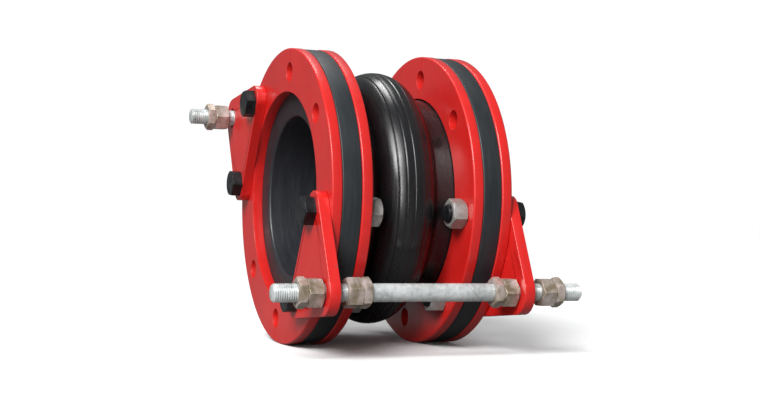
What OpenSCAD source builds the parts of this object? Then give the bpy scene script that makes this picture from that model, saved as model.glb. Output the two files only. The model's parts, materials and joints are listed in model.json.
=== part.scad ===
// Rubber expansion joint: a one-piece rubber bellows with a single arch, clamped at each
// end between two split steel rings, and held to its working length by two control rods.
// The pipe axis is X, +Z is up, and the origin is the centre of the arch on the pipe axis.
// Angles run from the top (+Z) towards -Y, as seen from the left (-X) end.
// Diameters follow from the inside out: bore, neck, bolt circle, ring, control rods.

/* [Rubber bellows] */
// Inside diameter of the rubber tube
bore_d = 152; // [100:1:260]
// Length between the two rubber flange faces
face_to_face = 152; // [146:1:260]
// Thickness of the whole rubber wall at the neck between arch and flange
neck_wall = 21.5; // [18:0.5:26]
// Thickness of the rubber flange
flange_t = 18; // [12:0.5:22]
// Radius of the round crest of the arch, in section
arch_r = 29; // [26:0.5:34]
// Height of the arch above the neck
arch_rise = 24; // [18:0.5:27]
// Radius of the open groove inside the arch, in section
groove_r = 15; // [8:0.5:17]
// Distance that the groove's centre lies in from the crest's centre
groove_drop = 3; // [0:0.5:5]
// Fillet between arch and neck
root_r = 6; // [3:0.5:8]
// Thickness of the rubber lining
tube_t = 4; // [2:0.5:5]
// Thickness of the outer rubber cover
cover_t = 4; // [2.5:0.5:5]
// Width of one raised band of the cover on the crest
band_w = 5; // [4:0.5:7]
// Depth of the grooves that part the raised bands
band_groove_d = 1.6; // [0.8:0.1:2]
// Diameter of the steel body rings moulded into the necks
body_ring_wire_d = 8; // [5:0.5:9]
// Distance from the fillet of the arch to the middle of a body ring
body_ring_off = 2; // [0:0.5:6]

/* [Steel rings] */
// Thickness of a steel ring
ring_t = 10; // [8:0.5:12]
// Chamfer on the outer edges of a ring
ring_chamfer = 1; // [0.5:0.5:2]
// Gap between a ring's bore and the neck inside it
ring_gap = 1.5; // [0.5:0.5:4]
// Distance that the rubber flange's rim stands in from the rings' rims
rim_step = 0.5; // [0:0.5:3]
// Gap between the two halves of a ring
split_gap = 1.2; // [0.5:0.1:3]
// Distance from the neck out to the bolt circle
bolt_circle_out = 20; // [18:0.5:35]
// Distance from the bolt circle out to the rings' rims
bolt_edge = 22.5; // [16:0.5:35]
// Number of bolt holes in a flange
hole_count = 8; // [8:4:12]
// Turn of the bolt holes away from the top
hole_phase = 6; // [0:0.5:22]

/* [Rod plates] */
// Thickness of a rod plate
plate_t = 10; // [8:0.5:14]
// Distance of the control rods out from the rings' rims
rod_out = 30; // [26:0.5:50]
// Distance that a plate's inner edge stands in from the rings' bore
plate_overlap = 2.5; // [0:0.5:6]
// Corner radius of a plate around its rod
plate_lobe_r = 20; // [18:0.5:25]
// Corner radius of a plate beside its bolts
plate_corner_r = 13; // [11:0.5:16]
// Distance from a bolt to the centre of the corner beside it
plate_corner_out = 5.5; // [2:0.5:10]

/* [Flange bolts] */
// Diameter of the flange bolts
bolt_d = 16; // [12:0.5:20]
// Gap between a bolt and its hole
bolt_gap = 1; // [0.5:0.5:2]
// Thickness of a bolt head
head_t = 10; // [7:0.5:12]
// Length of bolt that shows past its nut
bolt_stick_out = 3; // [1:0.5:4]
// Chamfer on the end of a bolt
bolt_chamfer = 1; // [0.5:0.5:2]
// Thickness of a full nut
nut_t = 14; // [10:0.5:15]

/* [Control rods] */
// Diameter of a control rod
rod_d = 16; // [12:0.5:20]
// Gap between a control rod and its hole in a plate
rod_gap = 2; // [2:0.5:3]
// Length of rod past its last nut at the left end
rod_end_left = 16.5; // [5:0.5:60]
// Length of rod past its last nut at the right end
rod_end_right = 19.8; // [5:0.1:60]
// Chamfer on the ends of a rod
rod_chamfer = 1.5; // [0.5:0.5:3]
// Thickness of a thin jam nut
jam_nut_t = 8; // [6:0.5:10]
// Gap outside the left plate, lower rod
gap_outer_left_lower = 1.5; // [1.5:0.1:6]
// Gap outside the left plate, upper rod
gap_outer_left_upper = 6; // [1.5:0.1:8]
// Gap inside the left plates, which sets how far the joint can close
gap_inner_left = 10; // [9.9:0.1:12]
// Gap inside the right plates
gap_inner_right = 1.4; // [1.4:0.1:4]
// Gap outside the right plates, which sets how far the joint can open
gap_outer_right = 12.7; // [12.4:0.1:15]

/* [Hidden] */
$fn = 144;

// Diameters, from the inside out
neck_d = bore_d + 2 * neck_wall;
arch_d = neck_d + 2 * arch_rise;
ring_bore_d = neck_d + 2 * ring_gap;
pcd = neck_d + 2 * bolt_circle_out;
ring_d = pcd + 2 * bolt_edge;
flange_d = ring_d - 2 * rim_step;
rod_r = ring_d / 2 + rod_out;
plate_inner_r = ring_bore_d / 2 - plate_overlap;
hole_d = bolt_d + 2 * bolt_gap;
rod_hole_d = rod_d + 2 * rod_gap;

// Stations along the pipe axis, measured from the middle of the arch
rubber_face_x = face_to_face / 2;
rubber_back_x = rubber_face_x - flange_t;
ring_outer_x = rubber_face_x + ring_t;
ring_inner_x = rubber_back_x - ring_t;
plate_outer_x = ring_outer_x + plate_t;
body_ring_x = arch_r + root_r + body_ring_off;
nut_stack = nut_t + jam_nut_t;
rod_left_x = -plate_outer_x - max(gap_outer_left_lower, gap_outer_left_upper) - nut_stack - rod_end_left;
rod_right_x = plate_outer_x + gap_outer_right + nut_stack + rod_end_right;

// Arch section: the crest is an arc about a ring at arch_c from the pipe axis
arch_c = arch_d / 2 - arch_r;
groove_c = arch_c - groove_drop;

// Bolt and rod places around the flange
pitch = 360 / hole_count;
rod_angle_lower = hole_phase + 90 + pitch / 2;
rod_angle_upper = rod_angle_lower + 180;
bolt_chord_r = pcd / 2 * cos(pitch / 2);
bolt_chord_half = pcd / 2 * sin(pitch / 2);

hex_ratio = 1.5;        // width across a hexagon's flats, over the diameter of its thread
corner_bevel = 30;      // slope of the chamfer on a hexagon's corners
bevel_in = 0.4;         // how far that chamfer cuts in past the middle of each flat
thread_gap = 0.05;      // gap between a shaft and the nut screwed on it
body_ring_gap = 0.3;    // rubber stands this far off the steel body ring
arc_overlap = 0.002;    // arcs that run into each other cross by this much, with no gap between them
cut = 1;                // how far a cutting tool runs past the face that it cuts
far = 2 * (ring_d + face_to_face);  // larger than anything in the model

// Turn of each nut about its shaft, from left to right along the rod
limit_nut_turn = [0, 14, 4, 22];
jam_nut_turn = [10, 26, 18, 6];

// ---------- placing ----------

// Lay a shape built up along Z along the pipe axis instead
module along_x() {
    rotate([0, 90, 0]) children();
}

// side is -1 for the left end and 1 for the right end
module at_end(side) {
    mirror([side < 0 ? 1 : 0, 0, 0]) children();
}

// Move a shape out to radius r at an angle around the pipe
module around(angle, r = 0) {
    rotate([angle, 0, 0]) translate([0, 0, r]) children();
}

// A hole or shaft along X from x0 to x1
module bar(d, x0, x1) {
    translate([x0, 0, 0]) along_x() cylinder(d = d, h = x1 - x0);
}

// Every bolt hole of one flange, from x0 to x1
module flange_holes(x0, x1) {
    for (i = [0 : hole_count - 1])
        around(hole_phase + i * pitch, pcd / 2) bar(hole_d, x0, x1);
}

// ---------- hexagons ----------

// Hexagon prism along X with its corners bevelled on the ends that are asked for
module hex_body(x0, x1, shaft_d, bevel_start = true, bevel_end = true) {
    across_flats = hex_ratio * shaft_d;
    corner_r = across_flats / 2 / cos(30);
    flat_r = across_flats / 2 - bevel_in;
    drop = (corner_r - flat_r) * tan(corner_bevel);
    h = x1 - x0;
    profile = [[0, 0],
               [bevel_start ? flat_r : corner_r, 0],
               [corner_r, bevel_start ? drop : 0],
               [corner_r, bevel_end ? h - drop : h],
               [bevel_end ? flat_r : corner_r, h],
               [0, h]];
    translate([x0, 0, 0]) along_x() intersection() {
        cylinder(r = corner_r, h = h, $fn = 6);
        rotate_extrude() polygon(profile);
    }
}

// Hexagon nut on a shaft, turned about it
module nut(x0, x1, shaft_d, turn) {
    rotate([turn, 0, 0]) difference() {
        hex_body(x0, x1, shaft_d);
        bar(shaft_d + 2 * thread_gap, x0 - cut, x1 + cut);
    }
}

// ---------- steel rings ----------

// Flat ring with broken edges, from x0 to x0 + ring_t
module ring_blank(x0) {
    c = ring_chamfer;
    ro = ring_d / 2;
    translate([x0, 0, 0]) along_x() rotate_extrude()
        polygon([[ring_bore_d / 2, 0], [ro - c, 0], [ro, c],
                 [ro, ring_t - c], [ro - c, ring_t], [ring_bore_d / 2, ring_t]]);
}

// One half of a split ring: the split runs through two opposite bolt holes
module ring_half(side, x0, front) {
    color("firebrick") at_end(side) difference() {
        intersection() {
            ring_blank(x0);
            around(hole_phase)
                translate([0, front ? -far - split_gap / 2 : split_gap / 2, -far / 2])
                    cube([far, far, far]);
        }
        flange_holes(x0 - cut, x0 + ring_t + cut);
    }
}

module outer_ring(side, front) {
    ring_half(side, rubber_face_x, front);
}

module retaining_ring(side, front) {
    ring_half(side, ring_inner_x, front);
}

// ---------- rod plates ----------

// Direction of the outer tangent from circle p to circle q, each [x, y, radius]
function tangent_angle(p, q) =
    let (run = [q[0] - p[0], q[1] - p[1]])
    atan2(run[1], run[0]) - 90 + asin((p[2] - q[2]) / norm(run));

function on_circle(p, a) = [p[0] + p[2] * cos(a), p[1] + p[2] * sin(a)];

// Outline that wraps round a ring of circles, listed anticlockwise
module wrapped(circles) {
    n = len(circles);
    polygon([for (i = [0 : n - 1])
                let (p = circles[i], q = circles[(i + 1) % n], a = tangent_angle(p, q))
                each [on_circle(p, a), on_circle(q, a)]]);
    for (p = circles)
        translate([p[0], p[1]]) circle(r = p[2]);
}

// Triangular plate with round corners: two flange bolts and one rod
module rod_plate(side, angle) {
    corner_y = bolt_chord_half + plate_corner_out;
    corner_z = plate_inner_r + plate_corner_r;
    color("red") at_end(side) around(angle) difference() {
        translate([ring_outer_x, 0, 0]) rotate([90, 0, 90]) linear_extrude(plate_t)
            wrapped([[-corner_y, corner_z, plate_corner_r],
                     [corner_y, corner_z, plate_corner_r],
                     [0, rod_r, plate_lobe_r]]);
        translate([0, 0, rod_r]) bar(rod_hole_d, ring_outer_x - cut, plate_outer_x + cut);
        for (y = [-bolt_chord_half, bolt_chord_half])
            translate([0, y, bolt_chord_r]) bar(hole_d, ring_outer_x - cut, plate_outer_x + cut);
    }
}

// ---------- flange bolts ----------

// Hexagon bolt: its head seats on the plate, and its end stands past the nut
module plate_bolt(side, angle) {
    end_x = ring_inner_x - nut_t - bolt_stick_out;
    shank = plate_outer_x - end_x;
    c = bolt_chamfer;
    r = bolt_d / 2;
    color("dimgray") at_end(side) around(angle, pcd / 2) {
        hex_body(plate_outer_x, plate_outer_x + head_t, bolt_d, bevel_start = false);
        translate([end_x, 0, 0]) along_x() rotate_extrude()
            polygon([[0, 0], [r - c, 0], [r, c], [r, shank], [0, shank]]);
    }
}

module bolt_nut(side, angle, turn) {
    color("tan") at_end(side) around(angle, pcd / 2)
        nut(ring_inner_x - nut_t, ring_inner_x, bolt_d, turn);
}

// ---------- control rods ----------

module control_rod(angle) {
    c = rod_chamfer;
    r = rod_d / 2;
    len = rod_right_x - rod_left_x;
    color("silver") around(angle, rod_r)
        translate([rod_left_x, 0, 0]) along_x() rotate_extrude()
            polygon([[0, 0], [r - c, 0], [r, c], [r, len - c], [r - c, len], [0, len]]);
}

// Faces that the limit nuts turn towards their plates, from left to right
function limit_face(i, gap_outer_left) =
    [-plate_outer_x - gap_outer_left,
     -ring_outer_x + gap_inner_left,
     ring_outer_x - gap_inner_right,
     plate_outer_x + gap_outer_right][i];

// Each nut stands away from its plate: to the left for 0 and 2, to the right for 1 and 3
function away(i) = i % 2 == 0 ? -1 : 1;

// Nut i from the left, whose near face is depth beyond the face that meets the plate
module rod_nut(angle, i, gap_outer_left, depth, t, turn) {
    face = limit_face(i, gap_outer_left);
    x0 = face + away(i) * depth;
    x1 = x0 + away(i) * t;
    color("tan") around(angle, rod_r) nut(min(x0, x1), max(x0, x1), rod_d, turn);
}

module limit_nut(angle, i, gap_outer_left) {
    rod_nut(angle, i, gap_outer_left, 0, nut_t, limit_nut_turn[i]);
}

module jam_nut(angle, i, gap_outer_left) {
    rod_nut(angle, i, gap_outer_left, nut_t, jam_nut_t, jam_nut_turn[i]);
}

// ---------- rubber bellows ----------

// Section of the rubber inside its outside surface inset by t, down to the bore.
// x in the section is the distance from the pipe axis, and y runs along it.
module outer_section(t) {
    rn = neck_d / 2 - t;
    ra = arch_r - t;
    rf = root_r + t;
    fillet_y = sqrt(pow(ra + rf, 2) - pow(rn + rf - arch_c, 2));
    translate([bore_d / 2, -rubber_face_x]) square([rn - bore_d / 2, face_to_face]);
    translate([arch_c, 0]) circle(r = ra);
    for (s = [0, 1]) mirror([0, s]) {
        translate([bore_d / 2, rubber_back_x + t])
            square([(flange_d - bore_d) / 2 - t, flange_t - t]);
        difference() {
            polygon([[arch_c, 0], [rn + rf, fillet_y], [rn, fillet_y], [arch_c, fillet_y]]);
            translate([rn + rf, fillet_y]) circle(r = rf + arc_overlap);
        }
    }
}

// Section of the groove inside the arch, grown by t, from radius r0 outwards
module groove_section(t, r0) {
    translate([r0, -groove_r - t]) square([groove_c - r0, 2 * (groove_r + t)]);
    translate([groove_c, 0]) circle(r = groove_r + t);
}

// Section of the lining, with the facing that it turns out into on both flanges
module lining_section() {
    difference() {
        union() {
            translate([bore_d / 2, -rubber_face_x]) square([tube_t, face_to_face]);
            for (y = [-rubber_face_x, rubber_face_x - tube_t])
                translate([bore_d / 2, y]) square([(flange_d - bore_d) / 2, tube_t]);
            groove_section(tube_t, bore_d / 2);
        }
        groove_section(0, bore_d / 2 - cut);
    }
}

// Section of everything that the lining and its groove take up
module lined_section() {
    lining_section();
    groove_section(tube_t, bore_d / 2 - cut);
}

// Turn a section about the pipe axis, clear the bore and drill both flanges
module moulded() {
    difference() {
        along_x() rotate_extrude() difference() {
            children();
            translate([0, -rubber_face_x - cut]) square([bore_d / 2, face_to_face + 2 * cut]);
        }
        for (side = [-1, 1]) at_end(side)
            flange_holes(rubber_back_x - cut, rubber_face_x + cut);
    }
}

module inner_tube() {
    color("#303236") moulded() lining_section();
}

module carcass() {
    color("#4a4438") moulded() difference() {
        outer_section(cover_t);
        lined_section();
        for (s = [0, 1]) mirror([0, s])
            translate([body_ring_r(), body_ring_x]) circle(d = body_ring_wire_d + 2 * body_ring_gap);
    }
}

// Grooves round the crest, evenly spaced on both sides of the middle band
module band_grooves() {
    turn = band_w / arch_r * 180 / PI;
    for (i = [-2.5 : 1 : 2.5])
        translate([arch_c, 0]) rotate(i * turn) translate([arch_r, 0]) circle(r = band_groove_d);
}

module cover() {
    color("#17181a") moulded() difference() {
        outer_section(0);
        outer_section(cover_t);
        lined_section();
        band_grooves();
    }
}

// Middle of the wall that holds the body ring
function body_ring_r() = (bore_d / 2 + tube_t + neck_d / 2 - cover_t) / 2;

module body_ring(side) {
    color("gray") at_end(side) along_x() rotate_extrude()
        translate([body_ring_r(), body_ring_x]) circle(d = body_ring_wire_d);
}

// ---------- the parts ----------

outer_ring(-1, true);  // outer_ring_left_front
outer_ring(-1, false);  // outer_ring_left_rear
outer_ring(1, true);  // outer_ring_right_front
outer_ring(1, false);  // outer_ring_right_rear
retaining_ring(-1, true);  // retaining_ring_left_front
retaining_ring(-1, false);  // retaining_ring_left_rear
retaining_ring(1, true);  // retaining_ring_right_front
retaining_ring(1, false);  // retaining_ring_right_rear
rod_plate(-1, rod_angle_lower);  // rod_plate_left_lower
rod_plate(-1, rod_angle_upper);  // rod_plate_left_upper
rod_plate(1, rod_angle_lower);  // rod_plate_right_lower
rod_plate(1, rod_angle_upper);  // rod_plate_right_upper
plate_bolt(-1, rod_angle_lower - pitch / 2);  // bolt_left_lower_a
plate_bolt(-1, rod_angle_lower + pitch / 2);  // bolt_left_lower_b
plate_bolt(-1, rod_angle_upper - pitch / 2);  // bolt_left_upper_a
plate_bolt(-1, rod_angle_upper + pitch / 2);  // bolt_left_upper_b
plate_bolt(1, rod_angle_lower - pitch / 2);  // bolt_right_lower_a
plate_bolt(1, rod_angle_lower + pitch / 2);  // bolt_right_lower_b
plate_bolt(1, rod_angle_upper - pitch / 2);  // bolt_right_upper_a
plate_bolt(1, rod_angle_upper + pitch / 2);  // bolt_right_upper_b
bolt_nut(-1, rod_angle_lower - pitch / 2, 5);  // bolt_nut_left_lower_a
bolt_nut(-1, rod_angle_lower + pitch / 2, 18);  // bolt_nut_left_lower_b
bolt_nut(-1, rod_angle_upper - pitch / 2, 25);  // bolt_nut_left_upper_a
bolt_nut(-1, rod_angle_upper + pitch / 2, 9);  // bolt_nut_left_upper_b
bolt_nut(1, rod_angle_lower - pitch / 2, 14);  // bolt_nut_right_lower_a
bolt_nut(1, rod_angle_lower + pitch / 2, 2);  // bolt_nut_right_lower_b
bolt_nut(1, rod_angle_upper - pitch / 2, 12);  // bolt_nut_right_upper_a
bolt_nut(1, rod_angle_upper + pitch / 2, 28);  // bolt_nut_right_upper_b
control_rod(rod_angle_lower);  // control_rod_lower
control_rod(rod_angle_upper);  // control_rod_upper
limit_nut(rod_angle_lower, 0, gap_outer_left_lower);  // limit_nut_lower_1
limit_nut(rod_angle_lower, 1, gap_outer_left_lower);  // limit_nut_lower_2
limit_nut(rod_angle_lower, 2, gap_outer_left_lower);  // limit_nut_lower_3
limit_nut(rod_angle_lower, 3, gap_outer_left_lower);  // limit_nut_lower_4
limit_nut(rod_angle_upper, 0, gap_outer_left_upper);  // limit_nut_upper_1
limit_nut(rod_angle_upper, 1, gap_outer_left_upper);  // limit_nut_upper_2
limit_nut(rod_angle_upper, 2, gap_outer_left_upper);  // limit_nut_upper_3
limit_nut(rod_angle_upper, 3, gap_outer_left_upper);  // limit_nut_upper_4
jam_nut(rod_angle_lower, 0, gap_outer_left_lower);  // jam_nut_lower_1
jam_nut(rod_angle_lower, 1, gap_outer_left_lower);  // jam_nut_lower_2
jam_nut(rod_angle_lower, 2, gap_outer_left_lower);  // jam_nut_lower_3
jam_nut(rod_angle_lower, 3, gap_outer_left_lower);  // jam_nut_lower_4
jam_nut(rod_angle_upper, 0, gap_outer_left_upper);  // jam_nut_upper_1
jam_nut(rod_angle_upper, 1, gap_outer_left_upper);  // jam_nut_upper_2
jam_nut(rod_angle_upper, 2, gap_outer_left_upper);  // jam_nut_upper_3
jam_nut(rod_angle_upper, 3, gap_outer_left_upper);  // jam_nut_upper_4
inner_tube();
carcass();
cover();
body_ring(-1);  // body_ring_left
body_ring(1);  // body_ring_right
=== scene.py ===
import json
import math

import bmesh
import bpy
from mathutils import Matrix, Vector, noise

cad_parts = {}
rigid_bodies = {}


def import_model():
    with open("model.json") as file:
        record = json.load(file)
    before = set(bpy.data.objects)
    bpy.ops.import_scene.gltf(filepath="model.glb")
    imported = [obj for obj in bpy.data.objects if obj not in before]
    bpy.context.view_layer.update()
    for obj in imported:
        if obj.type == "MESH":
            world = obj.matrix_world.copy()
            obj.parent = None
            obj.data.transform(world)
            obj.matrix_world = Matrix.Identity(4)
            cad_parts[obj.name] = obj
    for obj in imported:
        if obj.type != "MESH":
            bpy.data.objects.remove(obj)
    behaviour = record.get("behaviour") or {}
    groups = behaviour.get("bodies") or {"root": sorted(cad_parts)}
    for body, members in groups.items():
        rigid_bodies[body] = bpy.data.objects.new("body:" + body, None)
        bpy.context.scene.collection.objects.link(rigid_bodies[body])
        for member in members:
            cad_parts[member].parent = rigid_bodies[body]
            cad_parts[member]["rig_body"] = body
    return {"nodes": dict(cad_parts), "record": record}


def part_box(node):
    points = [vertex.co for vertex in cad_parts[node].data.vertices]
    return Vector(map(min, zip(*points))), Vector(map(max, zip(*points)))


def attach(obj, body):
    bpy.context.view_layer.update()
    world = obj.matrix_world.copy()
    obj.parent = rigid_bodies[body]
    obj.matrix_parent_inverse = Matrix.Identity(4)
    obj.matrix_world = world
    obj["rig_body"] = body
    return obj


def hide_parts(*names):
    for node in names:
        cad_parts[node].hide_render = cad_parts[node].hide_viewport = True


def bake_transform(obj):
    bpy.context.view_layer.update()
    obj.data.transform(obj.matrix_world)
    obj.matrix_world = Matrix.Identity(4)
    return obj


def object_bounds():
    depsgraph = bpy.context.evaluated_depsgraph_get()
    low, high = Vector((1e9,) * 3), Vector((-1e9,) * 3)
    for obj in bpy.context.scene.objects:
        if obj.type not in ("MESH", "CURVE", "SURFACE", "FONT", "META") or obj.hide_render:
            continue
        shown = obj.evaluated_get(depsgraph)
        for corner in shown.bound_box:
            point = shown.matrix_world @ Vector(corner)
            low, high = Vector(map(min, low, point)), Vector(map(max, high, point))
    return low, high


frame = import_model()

cad_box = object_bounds()
MM = 0.001
RECORD = frame["record"]
NODES = frame["nodes"]
MOUNTS = {mount["name"]: mount for mount in RECORD["mounts"]}

# ------------------------------------------------------------ sizes, from the frame

BORE_R = MOUNTS["main_bore"]["dims"]["r_mm"] * MM
HOLE_R = MOUNTS["right_bolt_hole_1"]["dims"]["r_mm"] * MM
FACE_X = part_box("inner_tube")[1].x                     # face of the rubber flange
BACK_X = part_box("retaining_ring_right_rear")[1].x      # back of the rubber flange
RING_INNER_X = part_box("retaining_ring_right_rear")[0].x
PLATE_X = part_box("rod_plate_right_lower")[1].x         # outer face of the rod plates
HEAD_END_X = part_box("bolt_right_lower_a")[1].x
RIM_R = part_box("inner_tube")[1].z                      # rim of the rubber flange
HINGE_X = next(j for j in RECORD["behaviour"]["joints"] if j["name"] == "flex_right")["pos_m"][0]


def centre_of(node):
    """Centre of a node's box."""
    low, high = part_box(node)
    return (low + high) / 2


def outer_radius(node, near_x, reach):
    """Largest distance from the pipe axis of a node's vertices near a station."""
    return max(math.hypot(v.co.y, v.co.z) for v in NODES[node].data.vertices
               if abs(abs(v.co.x) - near_x) < reach)


CREST_R = outer_radius("cover", 0, 2 * MM)
NECK_R = outer_radius("cover", HINGE_X, 6 * MM)
BOLT_CIRCLE_R = centre_of("bolt_right_lower_a").yz.length

# ------------------------------------------------------------ sizes of the details

ARCH_R = 29 * MM            # round crest of the arch, in section
ROOT_R = 6 * MM             # fillet between arch and neck
GROOVE_R = 15 * MM          # open groove inside the arch, in section
GROOVE_DROP = 3 * MM        # how far the groove's centre lies in from the crest's
LIP_R = 2.6 * MM            # rounding where the bore meets each face
RIM_ROUND = 1.2 * MM        # rounding on the rim of the rubber flange
# Degrees that the nuts of each rod are turned further than in the CAD, from left to right
NUT_TURN = {"limit": (31, 1, 28, 8), "jam": (-8, -18, -18, -2)}
BAND_PITCH = 7.7 * MM       # from one groove of the crest to the next
BAND_DEPTH = 0.42 * MM
BAND_WIDTH = 0.75 * MM
THREAD_PITCH = 2 * MM
THREAD_DEPTH = 1.0 * MM
CREST_FLAT = 1.25           # more than 1 leaves a flat on each thread's crest
THREAD_FADE = 2 * MM        # over which a thread runs out into the plain shaft
THREAD_STEPS = 8            # stations for each turn of a thread
PLAIN_STEP = 4 * MM         # from one station to the next where there is no thread
THREAD_PAST_NUT = 3 * MM
THREAD_UNDER_NUT = 2 * MM   # how far a rod's thread falls short of the innermost faces of its nuts
SHAFT_R = 8 * MM            # rods and bolts
ROD_CHAMFER = 1.5 * MM
BOLT_CHAMFER = 1 * MM
NUT_HOLE_R = 8.05 * MM
NUT_COUNTERSINK = 0.9 * MM
NUT_EDGE = 0.28 * MM        # rounding of the nuts' edges
HEAD_EDGE = 0.7 * MM        # of the bolt heads'
STEEL_EDGE = 0.6 * MM       # of the rings' and rod plates'
SEGMENTS = 256              # round the bellows
HOLE_SEGMENTS = 48
SHAFT_SEGMENTS = 48
BOLTS = 8                   # on each flange
UNEVEN_DEPTH = 0.22 * MM    # mean depth of the hand-built cover's unevenness
UNEVEN_ALONG = 38           # how fast it varies along the pipe, for each metre
UNEVEN_ROUND = 3.2          # and round it
OVERSPRAY_REACH = 14 * MM   # how far paint strayed from the rings
OVERSPRAY_LOW = 60 * MM     # height above the pipe axis where it begins
OVERSPRAY_FULL = 90 * MM

# ------------------------------------------------------------ mesh helpers


def new_object(name, mesh):
    obj = bpy.data.objects.new(name, mesh)
    bpy.context.scene.collection.objects.link(obj)
    return obj


def finish_mesh(name, bm, sharp_angle=35):
    """Object from a bmesh, smooth except over edges sharper than the angle in degrees."""
    bmesh.ops.recalc_face_normals(bm, faces=bm.faces)
    mesh = bpy.data.meshes.new(name)
    bm.to_mesh(mesh)
    bm.free()
    mesh.shade_smooth()
    mesh.set_sharp_from_angle(angle=math.radians(sharp_angle))
    return new_object(name, mesh)


def lathe(bm, profile, segments, wobble):
    """Ring about X from a closed list of (x, r) points; wobble(x, r, angle) is added to r."""
    rings = []
    for x, r in profile:
        ring = []
        for i in range(segments):
            a = 2 * math.pi * i / segments
            rr = r + wobble(x, r, a)
            ring.append(bm.verts.new((x, -rr * math.sin(a), rr * math.cos(a))))
        rings.append(ring)
    for k, ring in enumerate(rings):
        after = rings[(k + 1) % len(rings)]
        for i in range(segments):
            j = (i + 1) % segments
            bm.faces.new((ring[i], ring[j], after[j], after[i]))


def grid_skin(bm, rows, closed_ends=True):
    """Skin over rows of points that all run once round an axis, with flat ends."""
    made = [[bm.verts.new(p) for p in row] for row in rows]
    count = len(made[0])
    for row, after in zip(made, made[1:]):
        for i in range(count):
            j = (i + 1) % count
            bm.faces.new((row[i], row[j], after[j], after[i]))
    if closed_ends:
        bm.faces.new(made[0])
        bm.faces.new(list(reversed(made[-1])))
    return made


def arc(cx, cr, radius, a0, a1, steps):
    """Points (x, r) on an arc; angle 0 points along +x and 90 away from the pipe axis."""
    points = []
    for i in range(steps + 1):
        a = math.radians(a0 + (a1 - a0) * i / steps)
        points.append((cx + radius * math.cos(a), cr + radius * math.sin(a)))
    return points


def modify(obj, kind, name, **settings):
    modifier = obj.modifiers.new(name, kind)
    for key, value in settings.items():
        setattr(modifier, key, value)
    return modifier


def soften(obj, width, segments, angle):
    """Rounded edges on a hard part."""
    modify(obj, "BEVEL", "soft_edges", width=width, segments=segments, limit_method="ANGLE",
           angle_limit=math.radians(angle), harden_normals=True, use_clamp_overlap=True)


# ------------------------------------------------------------ material helpers


class Recipe:
    """Node tree of one material, with short calls for the nodes that the finishes share."""

    def __init__(self, name, **shader):
        self.material = bpy.data.materials.new(name)
        self.material.use_nodes = True
        self.tree = self.material.node_tree
        self.tree.nodes.clear()
        self.out = self.tree.nodes.new("ShaderNodeOutputMaterial")
        self.shader = self.tree.nodes.new("ShaderNodeBsdfPrincipled")
        self.tree.links.new(self.shader.outputs[0], self.out.inputs["Surface"])
        self.place = self.tree.nodes.new("ShaderNodeTexCoord").outputs["Object"]
        for key, value in shader.items():
            self.shader.inputs[key.replace("_", " ").title().replace("Ior", "IOR")].default_value = value

    def feed(self, source, socket):
        self.tree.links.new(source, self.shader.inputs[socket])

    def stretched(self, sx, sy, sz):
        """Coordinates scaled by different amounts, for streaks."""
        node = self.tree.nodes.new("ShaderNodeMapping")
        node.inputs["Scale"].default_value = (sx, sy, sz)
        self.tree.links.new(self.place, node.inputs["Vector"])
        return node.outputs[0]

    def noise(self, scale, detail=4, rough=0.55, distort=0.0, place=None):
        node = self.tree.nodes.new("ShaderNodeTexNoise")
        node.inputs["Scale"].default_value = scale
        node.inputs["Detail"].default_value = detail
        node.inputs["Roughness"].default_value = rough
        node.inputs["Distortion"].default_value = distort
        self.tree.links.new(place or self.place, node.inputs["Vector"])
        return node.outputs["Fac"]

    def cell_shades(self, scale):
        """One random grey for each cell."""
        node = self.tree.nodes.new("ShaderNodeTexVoronoi")
        node.inputs["Scale"].default_value = scale
        self.tree.links.new(self.place, node.inputs["Vector"])
        grey = self.tree.nodes.new("ShaderNodeRGBToBW")
        self.tree.links.new(node.outputs["Color"], grey.inputs[0])
        return grey.outputs[0]

    def ramp(self, factor, stops):
        """Colour or grey ramp: stops are (position, colour or grey)."""
        node = self.tree.nodes.new("ShaderNodeValToRGB")
        elements = node.color_ramp.elements
        while len(elements) < len(stops):
            elements.new(0.5)
        for element, (position, colour) in zip(elements, stops):
            element.position = position
            rgb = colour if isinstance(colour, tuple) else (colour,) * 3
            element.color = (*rgb, 1)
        self.tree.links.new(factor, node.inputs[0])
        return node.outputs[0]

    def span(self, factor, low, high, to_low, to_high):
        node = self.tree.nodes.new("ShaderNodeMapRange")
        for key, value in (("From Min", low), ("From Max", high), ("To Min", to_low), ("To Max", to_high)):
            node.inputs[key].default_value = value
        self.tree.links.new(factor, node.inputs["Value"])
        return node.outputs[0]

    def mix(self, factor, a, b, how="MIX"):
        """Colour mix; factor, a and b are sockets or values."""
        node = self.tree.nodes.new("ShaderNodeMix")
        node.data_type = "RGBA"
        node.blend_type = how
        for value, socket in ((factor, node.inputs[0]), (a, node.inputs[6]), (b, node.inputs[7])):
            if isinstance(value, (int, float)):
                socket.default_value = value
            elif isinstance(value, tuple):
                socket.default_value = (*value, 1)
            else:
                self.tree.links.new(value, socket)
        return node.outputs[2]

    def math(self, how, a, b=0.0):
        node = self.tree.nodes.new("ShaderNodeMath")
        node.operation = how
        for value, socket in ((a, node.inputs[0]), (b, node.inputs[1])):
            if isinstance(value, (int, float)):
                socket.default_value = value
            else:
                self.tree.links.new(value, socket)
        return node.outputs[0]

    def along(self, axis):
        """One coordinate of the place on the object, in metres."""
        node = self.tree.nodes.new("ShaderNodeSeparateXYZ")
        self.tree.links.new(self.place, node.inputs[0])
        return node.outputs[axis]

    def bump(self, height, strength, depth, under=None):
        node = self.tree.nodes.new("ShaderNodeBump")
        node.inputs["Strength"].default_value = strength
        node.inputs["Distance"].default_value = depth
        self.tree.links.new(height, node.inputs["Height"])
        if under:
            self.tree.links.new(under, node.inputs["Normal"])
        self.tree.links.new(node.outputs[0], self.shader.inputs["Normal"])
        return node.outputs[0]


# ------------------------------------------------------------ materials


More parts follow.
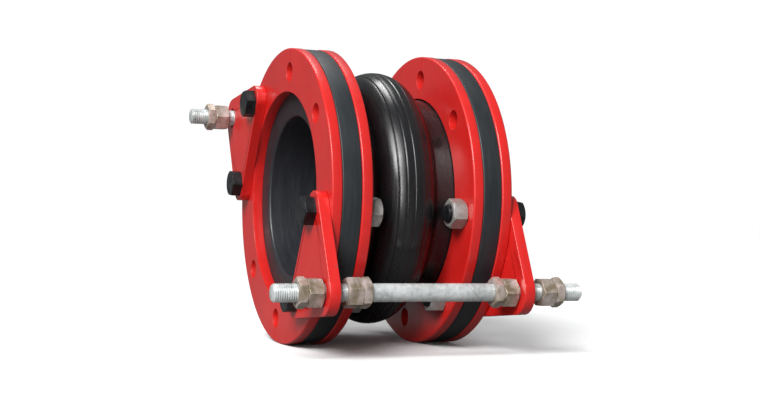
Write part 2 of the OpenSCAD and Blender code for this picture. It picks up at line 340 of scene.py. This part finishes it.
PRIMER = (0.09, 0.07, 0.065)
RUST_BLOOM = (0.10, 0.085, 0.07)


def painted_steel(name, red, dark, chips):
    """Brushed-on enamel: uneven gloss, orange peel, a few chips down to dark primer."""
    r = Recipe(name, roughness=0.4, coat_weight=0.35, coat_roughness=0.16)
    patches = r.noise(9, 3, 0.6)
    fine = r.noise(70, 5, 0.65)
    colour = r.mix(r.span(patches, 0.35, 0.7, 0, 1), dark, red)
    colour = r.mix(r.span(fine, 0.4, 0.75, 0, 0.18), colour, tuple(c * 0.45 for c in red))
    specks = r.span(r.noise(160, 2), 0.70, 0.73, 0, 1)
    chipped_areas = r.span(r.noise(14, 2), 0.5, 0.62, 0, 1)
    spots = r.math("MULTIPLY", specks, chipped_areas)
    colour = r.mix(r.math("MULTIPLY", spots, chips), colour, PRIMER)
    r.feed(colour, "Base Color")
    r.feed(r.span(r.noise(22, 4), 0.3, 0.75, 0.30, 0.50), "Roughness")
    sags = r.bump(r.noise(28, 2), 0.35, 0.5 * MM)
    r.bump(r.noise(420, 3), 0.16, 0.12 * MM, under=sags)
    return r.material


def moulded_rubber(name, black, dusty, dust, gloss):
    """Satin moulded rubber with mould flow streaks, bloom and fine grain."""
    r = Recipe(name, roughness=gloss, specular_ior_level=0.55)
    clouds = r.noise(11, 4, 0.6, 0.4)
    streaks = r.noise(30, 5, 0.6, 0.2, r.stretched(9, 1, 1))
    colour = r.mix(r.span(clouds, 0.35, 0.75, 0, dust), black, dusty)
    colour = r.mix(r.span(streaks, 0.5, 0.8, 0, dust * 0.6), colour, dusty)
    r.feed(colour, "Base Color")
    r.feed(r.span(streaks, 0.3, 0.75, gloss - 0.07, gloss + 0.12), "Roughness")
    waves = r.bump(streaks, 0.25, 0.35 * MM)
    r.bump(r.noise(900, 3), 0.12, 0.08 * MM, under=waves)
    return r


def overspray(recipe, red, share):
    """Red paint that strayed onto the rubber beside the rings."""
    socket = recipe.shader.inputs["Base Color"]
    under = socket.links[0].from_socket
    x = recipe.math("ABSOLUTE", recipe.along(0))
    beside = recipe.span(x, RING_INNER_X - OVERSPRAY_REACH, RING_INNER_X, 0, 1)
    blots = recipe.span(recipe.noise(24, 4, 0.7, 0.6), 0.5, 0.72, 0, share)
    top = recipe.span(recipe.along(2), OVERSPRAY_LOW, OVERSPRAY_FULL, 0, 1)
    stray = recipe.math("MULTIPLY", recipe.math("MULTIPLY", beside, blots), top)
    recipe.feed(recipe.mix(stray, under, red), "Base Color")
    return recipe


def plated_steel(name, low, mid, high, rough, cells=0.0, tint_scale=60):
    """Zinc on steel: cloudy tints, fine scratches, and dull and bright grains where cells is set."""
    r = Recipe(name, metallic=0.45, roughness=rough)
    tint = r.noise(tint_scale, 4, 0.6, 0.3)
    colour = r.ramp(tint, [(0.33, low), (0.5, mid), (0.66, high)])
    if cells:
        grains = r.cell_shades(cells)
        colour = r.mix(0.35, colour, r.ramp(grains, [(0.2, 0.35), (0.8, 0.8)]), "OVERLAY")
    grime = r.span(r.noise(150, 5, 0.7), 0.55, 0.75, 0, 0.55)
    colour = r.mix(grime, colour, tuple(c * 0.4 for c in low))
    r.feed(colour, "Base Color")
    r.feed(r.span(r.noise(95, 4), 0.3, 0.7, rough - 0.1, rough + 0.14), "Roughness")
    lumps = r.bump(r.noise(260, 3), 0.3, 0.15 * MM)
    r.bump(r.noise(60, 4, 0.6, 0.0, r.stretched(1, 22, 22)), 0.12, 0.06 * MM, under=lumps)
    return r.material


def black_oxide():
    """Oiled black oxide with a little rust bloom."""
    r = Recipe("black_oxide", metallic=0.45, roughness=0.36)
    colour = r.mix(r.span(r.noise(80, 4), 0.4, 0.7, 0, 1), (0.009, 0.010, 0.012), (0.026, 0.028, 0.030))
    colour = r.mix(r.span(r.noise(240, 4), 0.66, 0.76, 0, 0.5), colour, RUST_BLOOM)
    r.feed(colour, "Base Color")
    r.feed(r.span(r.noise(120, 4), 0.3, 0.7, 0.26, 0.5), "Roughness")
    r.bump(r.noise(320, 4), 0.3, 0.16 * MM)
    return r.material


def plain_steel():
    """Drawn steel wire of the body rings."""
    r = Recipe("drawn_steel", metallic=0.9, roughness=0.4)
    r.feed(r.ramp(r.noise(50, 4), [(0.35, 0.30), (0.65, 0.45)]), "Base Color")
    r.feed(r.span(r.noise(200, 3), 0.3, 0.7, 0.3, 0.5), "Roughness")
    r.bump(r.noise(300, 3), 0.2, 0.1 * MM)
    return r.material


def studio_switch(tree, seen, bounced):
    """Shader or colour that the picture shows, and a dimmer one for bounced light."""
    rays = tree.nodes.new("ShaderNodeLightPath")
    mix = tree.nodes.new("ShaderNodeMixShader")
    tree.links.new(rays.outputs["Is Camera Ray"], mix.inputs[0])
    tree.links.new(bounced, mix.inputs[1])
    tree.links.new(seen, mix.inputs[2])
    return mix.outputs[0]


def floor_white():
    """Plain pale studio floor, which throws little light back up."""
    material = bpy.data.materials.new("studio_floor")
    material.use_nodes = True
    tree = material.node_tree
    tree.nodes.clear()
    shades = []
    for grey in (FLOOR_SEEN, FLOOR_BOUNCE):
        shade = tree.nodes.new("ShaderNodeBsdfDiffuse")
        shade.inputs["Color"].default_value = (grey, grey, grey, 1)
        shades.append(shade.outputs[0])
    out = tree.nodes.new("ShaderNodeOutputMaterial")
    tree.links.new(studio_switch(tree, *shades), out.inputs["Surface"])
    return material


RED = (0.62, 0.014, 0.011)
STRAY_RED = (0.16, 0.012, 0.012)
RING_PAINT = painted_steel("ring_enamel", RED, (0.52, 0.011, 0.009), 0.5)
PLATE_PAINT = painted_steel("plate_enamel", (0.66, 0.015, 0.012), (0.56, 0.012, 0.010), 0.6)
COVER_RUBBER = overspray(
    moulded_rubber("cover_rubber", (0.0045, 0.0046, 0.0052), (0.016, 0.0165, 0.018), 0.7, 0.27),
    STRAY_RED, 0.5).material
FLANGE_RUBBER = moulded_rubber(
    "flange_rubber", (0.008, 0.011, 0.014), (0.021, 0.025, 0.028), 0.8, 0.5).material
LINING_RUBBER = moulded_rubber(
    "lining_rubber", (0.010, 0.011, 0.015), (0.028, 0.029, 0.034), 0.8, 0.42).material
HOLE_PAINT = painted_steel("hole_overspray", (0.42, 0.012, 0.010), (0.22, 0.010, 0.009), 1.0)
OXIDE = black_oxide()
ZINC_NUT = plated_steel("dull_zinc", (0.22, 0.21, 0.19), (0.33, 0.32, 0.30), (0.47, 0.46, 0.45), 0.36)
TINTED_NUT = plated_steel("passivated_zinc", (0.24, 0.19, 0.12), (0.44, 0.37, 0.32), (0.64, 0.54, 0.52),
                          0.34, tint_scale=85)
GALVANISED = plated_steel("galvanised", (0.46, 0.485, 0.48), (0.60, 0.63, 0.625), (0.70, 0.72, 0.72),
                          0.42, cells=330)
DRAWN_STEEL = plain_steel()


def dress(obj, *materials):
    obj.data.materials.clear()
    for material in materials:
        obj.data.materials.append(material)


# ------------------------------------------------------------ rubber bellows


def root_x():
    """Where the fillet of the arch runs out into the neck."""
    arch_c = CREST_R - ARCH_R
    return math.sqrt((ARCH_R + ROOT_R) ** 2 - (NECK_R + ROOT_R - arch_c) ** 2)


def groove_depth(s):
    """Depth of the crest's grooves at arc length s from the middle."""
    nearest = round(s / BAND_PITCH)
    if abs(nearest) > 2:
        return 0
    away = (s - nearest * BAND_PITCH) / BAND_WIDTH
    return BAND_DEPTH * math.exp(-away * away * 2)


def arch_outside():
    """Outside of half the arch, from the middle of the crest to the neck at +x."""
    arch_c = CREST_R - ARCH_R
    end = root_x()
    meet = math.degrees(math.atan2(NECK_R + ROOT_R - arch_c, end))
    arc_length = math.radians(90 - meet) * ARCH_R
    steps = round(arc_length / (0.25 * MM))
    points = []
    for i in range(steps + 1):
        s = arc_length * i / steps
        a = math.pi / 2 - s / ARCH_R
        rr = ARCH_R - groove_depth(s)
        points.append((rr * math.cos(a), arch_c + rr * math.sin(a)))
    points += arc(end, NECK_R + ROOT_R, ROOT_R, 180 + meet, 270, 14)[1:]
    points.append((HINGE_X, NECK_R))
    return points


def arch_inside():
    """Inside of half the arch, from the bore at +x to the middle of the open groove."""
    groove_c = CREST_R - ARCH_R - GROOVE_DROP
    edge = 3 * MM
    points = [(HINGE_X, BORE_R)]
    points += arc(GROOVE_R + edge, BORE_R + edge, edge, 270, 180, 8)
    points += arc(0, groove_c, GROOVE_R, 0, 90, 30)
    return points


def neck_and_flange():
    """Closed section of the neck and flange at the +x end."""
    points = [(HINGE_X, NECK_R), (RING_INNER_X, NECK_R), (BACK_X - 1 * MM, NECK_R)]
    points += arc(BACK_X - 1 * MM, NECK_R + 1 * MM, 1 * MM, 270, 360, 4)[1:]
    points += arc(BACK_X + RIM_ROUND, RIM_R - RIM_ROUND, RIM_ROUND, 180, 90, 6)
    points += arc(FACE_X - RIM_ROUND, RIM_R - RIM_ROUND, RIM_ROUND, 90, 0, 6)
    points += arc(FACE_X - LIP_R, BORE_R + LIP_R, LIP_R, 0, -90, 8)
    middle = (FACE_X + HINGE_X) / 2
    points += [(middle, BORE_R), (HINGE_X, BORE_R)]
    return points


def hand_made(x, r, a):
    """Slight unevenness of a hand-built, wrapped and cured cover, always inwards."""
    if r < NECK_R - 1 * MM or abs(x) > RING_INNER_X:
        return 0
    at = Vector((x * UNEVEN_ALONG, math.cos(a) * UNEVEN_ROUND, math.sin(a) * UNEVEN_ROUND))
    return -UNEVEN_DEPTH * (1 + noise.noise(at))


def mirrored(profile, side):
    return [(side * x, r) for x, r in profile]


def paint_by_place(obj, choose):
    """Gives each face the material slot that choose(centre, normal) names."""
    for face in obj.data.polygons:
        face.material_index = choose(face.center, face.normal)


def cut_bolt_holes(obj, side):
    """Drills the rubber flange: eight holes in line with those of the rings."""
    bm = bmesh.new()
    first = MOUNTS["right_bolt_hole_1"]["pos_m"]
    start = math.atan2(-first[1], first[2])
    for i in range(BOLTS):
        a = start + i * 2 * math.pi / BOLTS
        centre = Vector((side * (BACK_X + FACE_X) / 2,
                         -BOLT_CIRCLE_R * math.sin(a), BOLT_CIRCLE_R * math.cos(a)))
        rows = []
        for dx in (-12 * MM, 12 * MM):
            rows.append([centre + Vector((dx, HOLE_R * math.cos(t), HOLE_R * math.sin(t)))
                         for t in [2 * math.pi * k / HOLE_SEGMENTS for k in range(HOLE_SEGMENTS)]])
        grid_skin(bm, rows)
    cutter = finish_mesh("hole_cutter", bm)
    boolean = modify(obj, "BOOLEAN", "holes", operation="DIFFERENCE", solver="EXACT")
    boolean.object = cutter
    bpy.context.view_layer.update()
    shown = obj.evaluated_get(bpy.context.evaluated_depsgraph_get())
    mesh = bpy.data.meshes.new_from_object(shown)
    obj.modifiers.clear()
    obj.data = mesh
    bpy.data.objects.remove(cutter)
    mesh.set_sharp_from_angle(angle=math.radians(35))


def flange_face(centre, normal):
    """0 for the cover, 1 for the flange, 2 for the lining, 3 for the paint in the holes."""
    r = math.hypot(centre.y, centre.z)
    x = abs(centre.x)
    outward = (normal.y * centre.y + normal.z * centre.z) / r
    if r < BORE_R + 1.2 * MM:
        return 2
    if x > BACK_X + 0.5 * MM and abs(normal.x) < 0.5 and r < RIM_R - 4 * MM and r > NECK_R:
        return 3
    if x > BACK_X - 0.5 * MM or (r > NECK_R + 2 * MM and outward > 0):
        return 1
    return 0


def arch_face(centre, normal):
    r = math.hypot(centre.y, centre.z)
    outward = (normal.y * centre.y + normal.z * centre.z) / r
    inside = r < BORE_R + 1 * MM or (abs(centre.x) < GROOVE_R + 4 * MM and r < CREST_R - ARCH_R + 13 * MM)
    return 2 if inside and outward < 0.9 else 0


def make_bellows():
    for side, name in ((-1, "left"), (1, "right")):
        bm = bmesh.new()
        lathe(bm, mirrored(neck_and_flange(), side), SEGMENTS, hand_made)
        end = finish_mesh("rubber_flange_" + name, bm)
        cut_bolt_holes(end, side)
        dress(end, COVER_RUBBER, FLANGE_RUBBER, LINING_RUBBER, HOLE_PAINT)
        paint_by_place(end, flange_face)
        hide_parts("cover", "carcass", "inner_tube")
        if side < 0:
            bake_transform(end)
        else:
            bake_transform(end)

        bm = bmesh.new()
        lathe(bm, mirrored(arch_outside() + arch_inside(), side), SEGMENTS, hand_made)
        half = finish_mesh("rubber_arch_" + name, bm, 40)
        dress(half, COVER_RUBBER, FLANGE_RUBBER, LINING_RUBBER)
        paint_by_place(half, arch_face)
        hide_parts("cover", "carcass", "inner_tube")
        if side < 0:
            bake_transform(half)
        else:
            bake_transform(half)


# ------------------------------------------------------------ hexagons and threads

CORNER_BEVEL = math.radians(30)
FACE_INSET = 0.35 * MM      # from the flats in to where the bevel of the corners begins
PLAIN_INSET = 0.93          # ring inside an end without a bevel, as a share of its rim
STEPS_PER_SIDE = 12


def hex_rim(flats, angle):
    """Distance from the middle of a hexagon to its edge in a direction."""
    within = (angle + math.pi / 6) % (math.pi / 3) - math.pi / 6
    return flats / 2 / math.cos(within)


def hex_rows(flats, x0, x1, hole_r, sink, bevel0, bevel1):
    """Rows down a hexagon from x0 to x1, each a function from an angle to (x, radius)."""
    face_r = flats / 2 - FACE_INSET

    def corner(at, inward, bevelled):
        def place(angle):
            rim = hex_rim(flats, angle)
            drop = max(0.0, rim - face_r) * math.tan(CORNER_BEVEL) if bevelled else 0.0
            return at + inward * drop, rim
        return place

    def ring(x, r):
        return lambda angle: (x, r)

    def plain(x):
        return lambda angle: (x, hex_rim(flats, angle) * PLAIN_INSET)

    rows = [ring(x0 + sink, hole_r), ring(x0, hole_r + sink)] if hole_r else []
    rows += [ring(x0, face_r)] if bevel0 else [plain(x0)]
    rows += [corner(x0, 1, bevel0), corner(x1, -1, bevel1)]
    rows += [ring(x1, face_r)] if bevel1 else [plain(x1)]
    if hole_r:
        rows += [ring(x1, hole_r + sink), ring(x1 - sink, hole_r)]
    return rows


def hex_mesh(flats, x0, x1, centre, turn, hole_r=0.0, sink=0.0, bevel0=True, bevel1=True):
    """Hexagon along X at a centre (y, z), with corners bevelled as on a turned blank."""
    bm = bmesh.new()
    count = 6 * STEPS_PER_SIDE
    rows = []
    for place in hex_rows(flats, x0, x1, hole_r, sink, bevel0, bevel1):
        row = []
        for i in range(count):
            a = 2 * math.pi * i / count + math.pi / 6
            x, r = place(a)
            row.append(Vector((x, centre[0] + r * math.cos(a + turn), centre[1] + r * math.sin(a + turn))))
        rows.append(row)
    made = grid_skin(bm, rows, closed_ends=not hole_r)
    if hole_r:
        for i in range(count):
            j = (i + 1) % count
            bm.faces.new((made[-1][i], made[-1][j], made[0][j], made[0][i]))
    return bm


def thread_radius(shaft_r, x, angle, start):
    """Rounded thread crests and roots at a place on the shaft."""
    phase = (x - start) / THREAD_PITCH - angle / (2 * math.pi)
    wave = 0.5 + 0.5 * math.cos(2 * math.pi * phase)
    crest = min(1.0, wave * CREST_FLAT)
    return shaft_r - THREAD_DEPTH * (1 - crest)


def shaft(bm, shaft_r, x0, x1, centre, threads, chamfer):
    """Round bar along X with a helical thread over each (start, end) in threads."""
    stations = [x0]
    x = x0
    while x < x1 - 0.01 * MM:
        threaded = any(a - 1 * MM < x < b + 1 * MM for a, b in threads)
        x = min(x1, x + (THREAD_PITCH / THREAD_STEPS if threaded else PLAIN_STEP))
        stations.append(x)
    rows = []
    for x in stations:
        row = []
        for i in range(SHAFT_SEGMENTS):
            a = 2 * math.pi * i / SHAFT_SEGMENTS
            r = shaft_r
            for start, end in threads:
                if start <= x <= end:
                    fade = min(1.0, (x - start) / THREAD_FADE if start > x0 else 1.0,
                               (end - x) / THREAD_FADE if end < x1 else 1.0)
                    r = shaft_r - (shaft_r - thread_radius(shaft_r, x, a, x0)) * fade
            r = min(r, shaft_r - chamfer + (x - x0), shaft_r - chamfer + (x1 - x))
            row.append(Vector((x, centre[0] + r * math.cos(a), centre[1] + r * math.sin(a))))
        rows.append(row)
    grid_skin(bm, rows)


def hex_turn(node):
    """Turn of a hexagon node about its shaft, from its corner vertices."""
    centre = centre_of(node)
    far = max(NODES[node].data.vertices, key=lambda v: math.hypot(v.co.y - centre.y, v.co.z - centre.z))
    corner_angle = math.atan2(far.co.z - centre.z, far.co.y - centre.y)
    return corner_angle - math.pi / 6


def flats_of(node):
    centre = centre_of(node)
    reach = max(math.hypot(v.co.y - centre.y, v.co.z - centre.z) for v in NODES[node].data.vertices)
    return 2 * reach * math.cos(math.pi / 6)


def make_nut(node, body, material):
    low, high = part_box(node)
    centre = centre_of(node)
    kind, place = node.split("_")[0], node.split("_")[-1]
    further = NUT_TURN[kind][int(place) - 1] if kind in NUT_TURN else 0
    turn = hex_turn(node) + math.radians(further)
    bm = hex_mesh(flats_of(node), low.x, high.x, (centre.y, centre.z), turn,
                  hole_r=NUT_HOLE_R, sink=NUT_COUNTERSINK)
    nut = finish_mesh(node.replace("nut", "hex_nut"), bm, 20)
    soften(nut, NUT_EDGE, 2, 18)
    dress(nut, material)
    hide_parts(node)
    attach(nut, body)


def make_bolt(node, body, side):
    low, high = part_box(node)
    centre = centre_of(node)
    middle = (centre.y, centre.z)
    head_x0, head_x1 = side * PLATE_X, side * HEAD_END_X
    bm = hex_mesh(flats_of(node), min(head_x0, head_x1), max(head_x0, head_x1), middle,
                  hex_turn(node), bevel0=side < 0, bevel1=side > 0)
    head = finish_mesh(node.replace("bolt", "bolt_head"), bm, 20)
    soften(head, HEAD_EDGE, 3, 18)
    tip = low.x if side > 0 else high.x
    bm = bmesh.new()
    nut_x = side * RING_INNER_X
    threads = [(tip, nut_x + THREAD_PAST_NUT)] if side > 0 else [(nut_x - THREAD_PAST_NUT, tip)]
    x0, x1 = sorted((tip, head_x0))
    shaft(bm, SHAFT_R, x0, x1, middle, threads, BOLT_CHAMFER)
    shank = finish_mesh(node.replace("bolt", "bolt_shank"), bm, 50)
    for piece in (head, shank):
        dress(piece, OXIDE)
        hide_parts(node)
        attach(piece, body)


def make_rod(node, body):
    low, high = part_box(node)
    centre = centre_of(node)
    level = node.split("_")[-1]
    inner_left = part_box("jam_nut_" + level + "_2")[1].x - THREAD_UNDER_NUT
    inner_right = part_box("jam_nut_" + level + "_3")[0].x + THREAD_UNDER_NUT
    bm = bmesh.new()
    threads = [(low.x, inner_left), (inner_right, high.x)]
    shaft(bm, SHAFT_R, low.x, high.x, (centre.y, centre.z), threads, ROD_CHAMFER)
    rod = finish_mesh("threaded_rod_" + level, bm, 50)
    dress(rod, GALVANISED)
    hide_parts(node)
    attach(rod, body)


def make_fasteners():
    for node, obj in sorted(NODES.items()):
        body = obj["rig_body"]
        if node.startswith(("limit_nut", "jam_nut")):
            make_nut(node, body, TINTED_NUT)
        elif node.startswith("bolt_nut"):
            make_nut(node, body, ZINC_NUT)
        elif node.startswith("bolt_"):
            make_bolt(node, body, -1 if "left" in node else 1)
        elif node.startswith("control_rod"):
            make_rod(node, body)


# ------------------------------------------------------------ steel that stays as packed


def dress_steel():
    for node, obj in sorted(NODES.items()):
        if node.startswith(("outer_ring", "retaining_ring", "rod_plate")):
            modify(obj, "WELD", "join", merge_threshold=0.005 * MM)
            soften(obj, STEEL_EDGE, 3, 25)
            dress(obj, PLATE_PAINT if node.startswith("rod_plate") else RING_PAINT)
        elif node.startswith("body_ring"):
            dress(obj, DRAWN_STEEL)


# ------------------------------------------------------------ studio

CAMERA_PLACE = Vector((-0.4675, -1.2082, -0.0048))
CAMERA_YAW = 21.72          # degrees to the right of +Y
CAMERA_PITCH = 0.15
CAMERA_ROLL = 1.39
CAMERA_LENS = 63.11
CAMERA_SENSOR = 36
FLOOR_RADIUS = 30
FLOOR_SEEN = 1.0            # grey that the picture shows
FLOOR_BOUNCE = 0.2          # grey that bounced light meets
BACKDROP_STRENGTH = 1.05
ROOM_COLOUR = (0.95, 0.98, 1.0, 1)
ROOM_STRENGTH = 0.2
SUN_TOWARDS = Vector((-0.78, -0.72, 0.78))
SUN_STRENGTH = 4.3
SUN_SPREAD = 30             # degrees


def make_camera():
    yaw, pitch, roll = (math.radians(v) for v in (CAMERA_YAW, CAMERA_PITCH, CAMERA_ROLL))
    ahead = Vector((math.sin(yaw) * math.cos(pitch), math.cos(yaw) * math.cos(pitch), math.sin(pitch)))
    right = Vector((math.cos(yaw), -math.sin(yaw), 0))
    up = right.cross(ahead)
    across = right * math.cos(roll) + up * math.sin(roll)
    upward = up * math.cos(roll) - right * math.sin(roll)
    data = bpy.data.cameras.new("camera")
    data.lens = CAMERA_LENS
    data.sensor_width = CAMERA_SENSOR
    camera = bpy.data.objects.new("camera", data)
    turn = Matrix((across, upward, -ahead)).transposed().to_4x4()
    camera.matrix_world = Matrix.Translation(CAMERA_PLACE) @ turn
    bpy.context.scene.collection.objects.link(camera)
    bpy.context.scene.camera = camera


def softbox(name, place, aim, width, height, power):
    data = bpy.data.lights.new(name, "AREA")
    data.shape = "RECTANGLE"
    data.size = width
    data.size_y = height
    data.energy = power
    light = bpy.data.objects.new(name, data)
    light.location = place
    light.rotation_mode = "QUATERNION"
    light.rotation_quaternion = (Vector(aim) - Vector(place)).to_track_quat("-Z", "Y")
    bpy.context.scene.collection.objects.link(light)


def make_studio():
    bm = bmesh.new()
    bmesh.ops.create_circle(bm, cap_ends=True, radius=FLOOR_RADIUS, segments=96)
    floor = finish_mesh("floor", bm)
    floor.location.z = cad_box[0].z
    dress(floor, floor_white())

    world = bpy.data.worlds.new("studio")
    world.use_nodes = True
    tree = world.node_tree
    backdrop = tree.nodes["Background"]
    backdrop.inputs[0].default_value = (1.0, 1.0, 1.0, 1)
    backdrop.inputs[1].default_value = BACKDROP_STRENGTH
    room = tree.nodes.new("ShaderNodeBackground")
    room.inputs[0].default_value = ROOM_COLOUR
    room.inputs[1].default_value = ROOM_STRENGTH
    surface = studio_switch(tree, backdrop.outputs[0], room.outputs[0])
    tree.links.new(surface, tree.nodes["World Output"].inputs["Surface"])
    bpy.context.scene.world = world

    sun = bpy.data.lights.new("key", "SUN")
    sun.energy = SUN_STRENGTH
    sun.angle = math.radians(SUN_SPREAD)
    key = bpy.data.objects.new("key", sun)
    key.rotation_mode = "QUATERNION"
    key.rotation_quaternion = (-SUN_TOWARDS).to_track_quat("-Z", "Y")
    bpy.context.scene.collection.objects.link(key)
    softbox("overhead", place=(0.02, 0.40, 1.15), aim=(0, 0, 0.05), width=0.26, height=0.55, power=6)
    softbox("front", place=(-0.76, -1.38, 0.30), aim=(0, 0, 0), width=0.15, height=1.1, power=9)
    bpy.context.scene.view_settings.view_transform = "Standard"


make_camera()
make_bellows()
make_fasteners()
dress_steel()
make_studio()
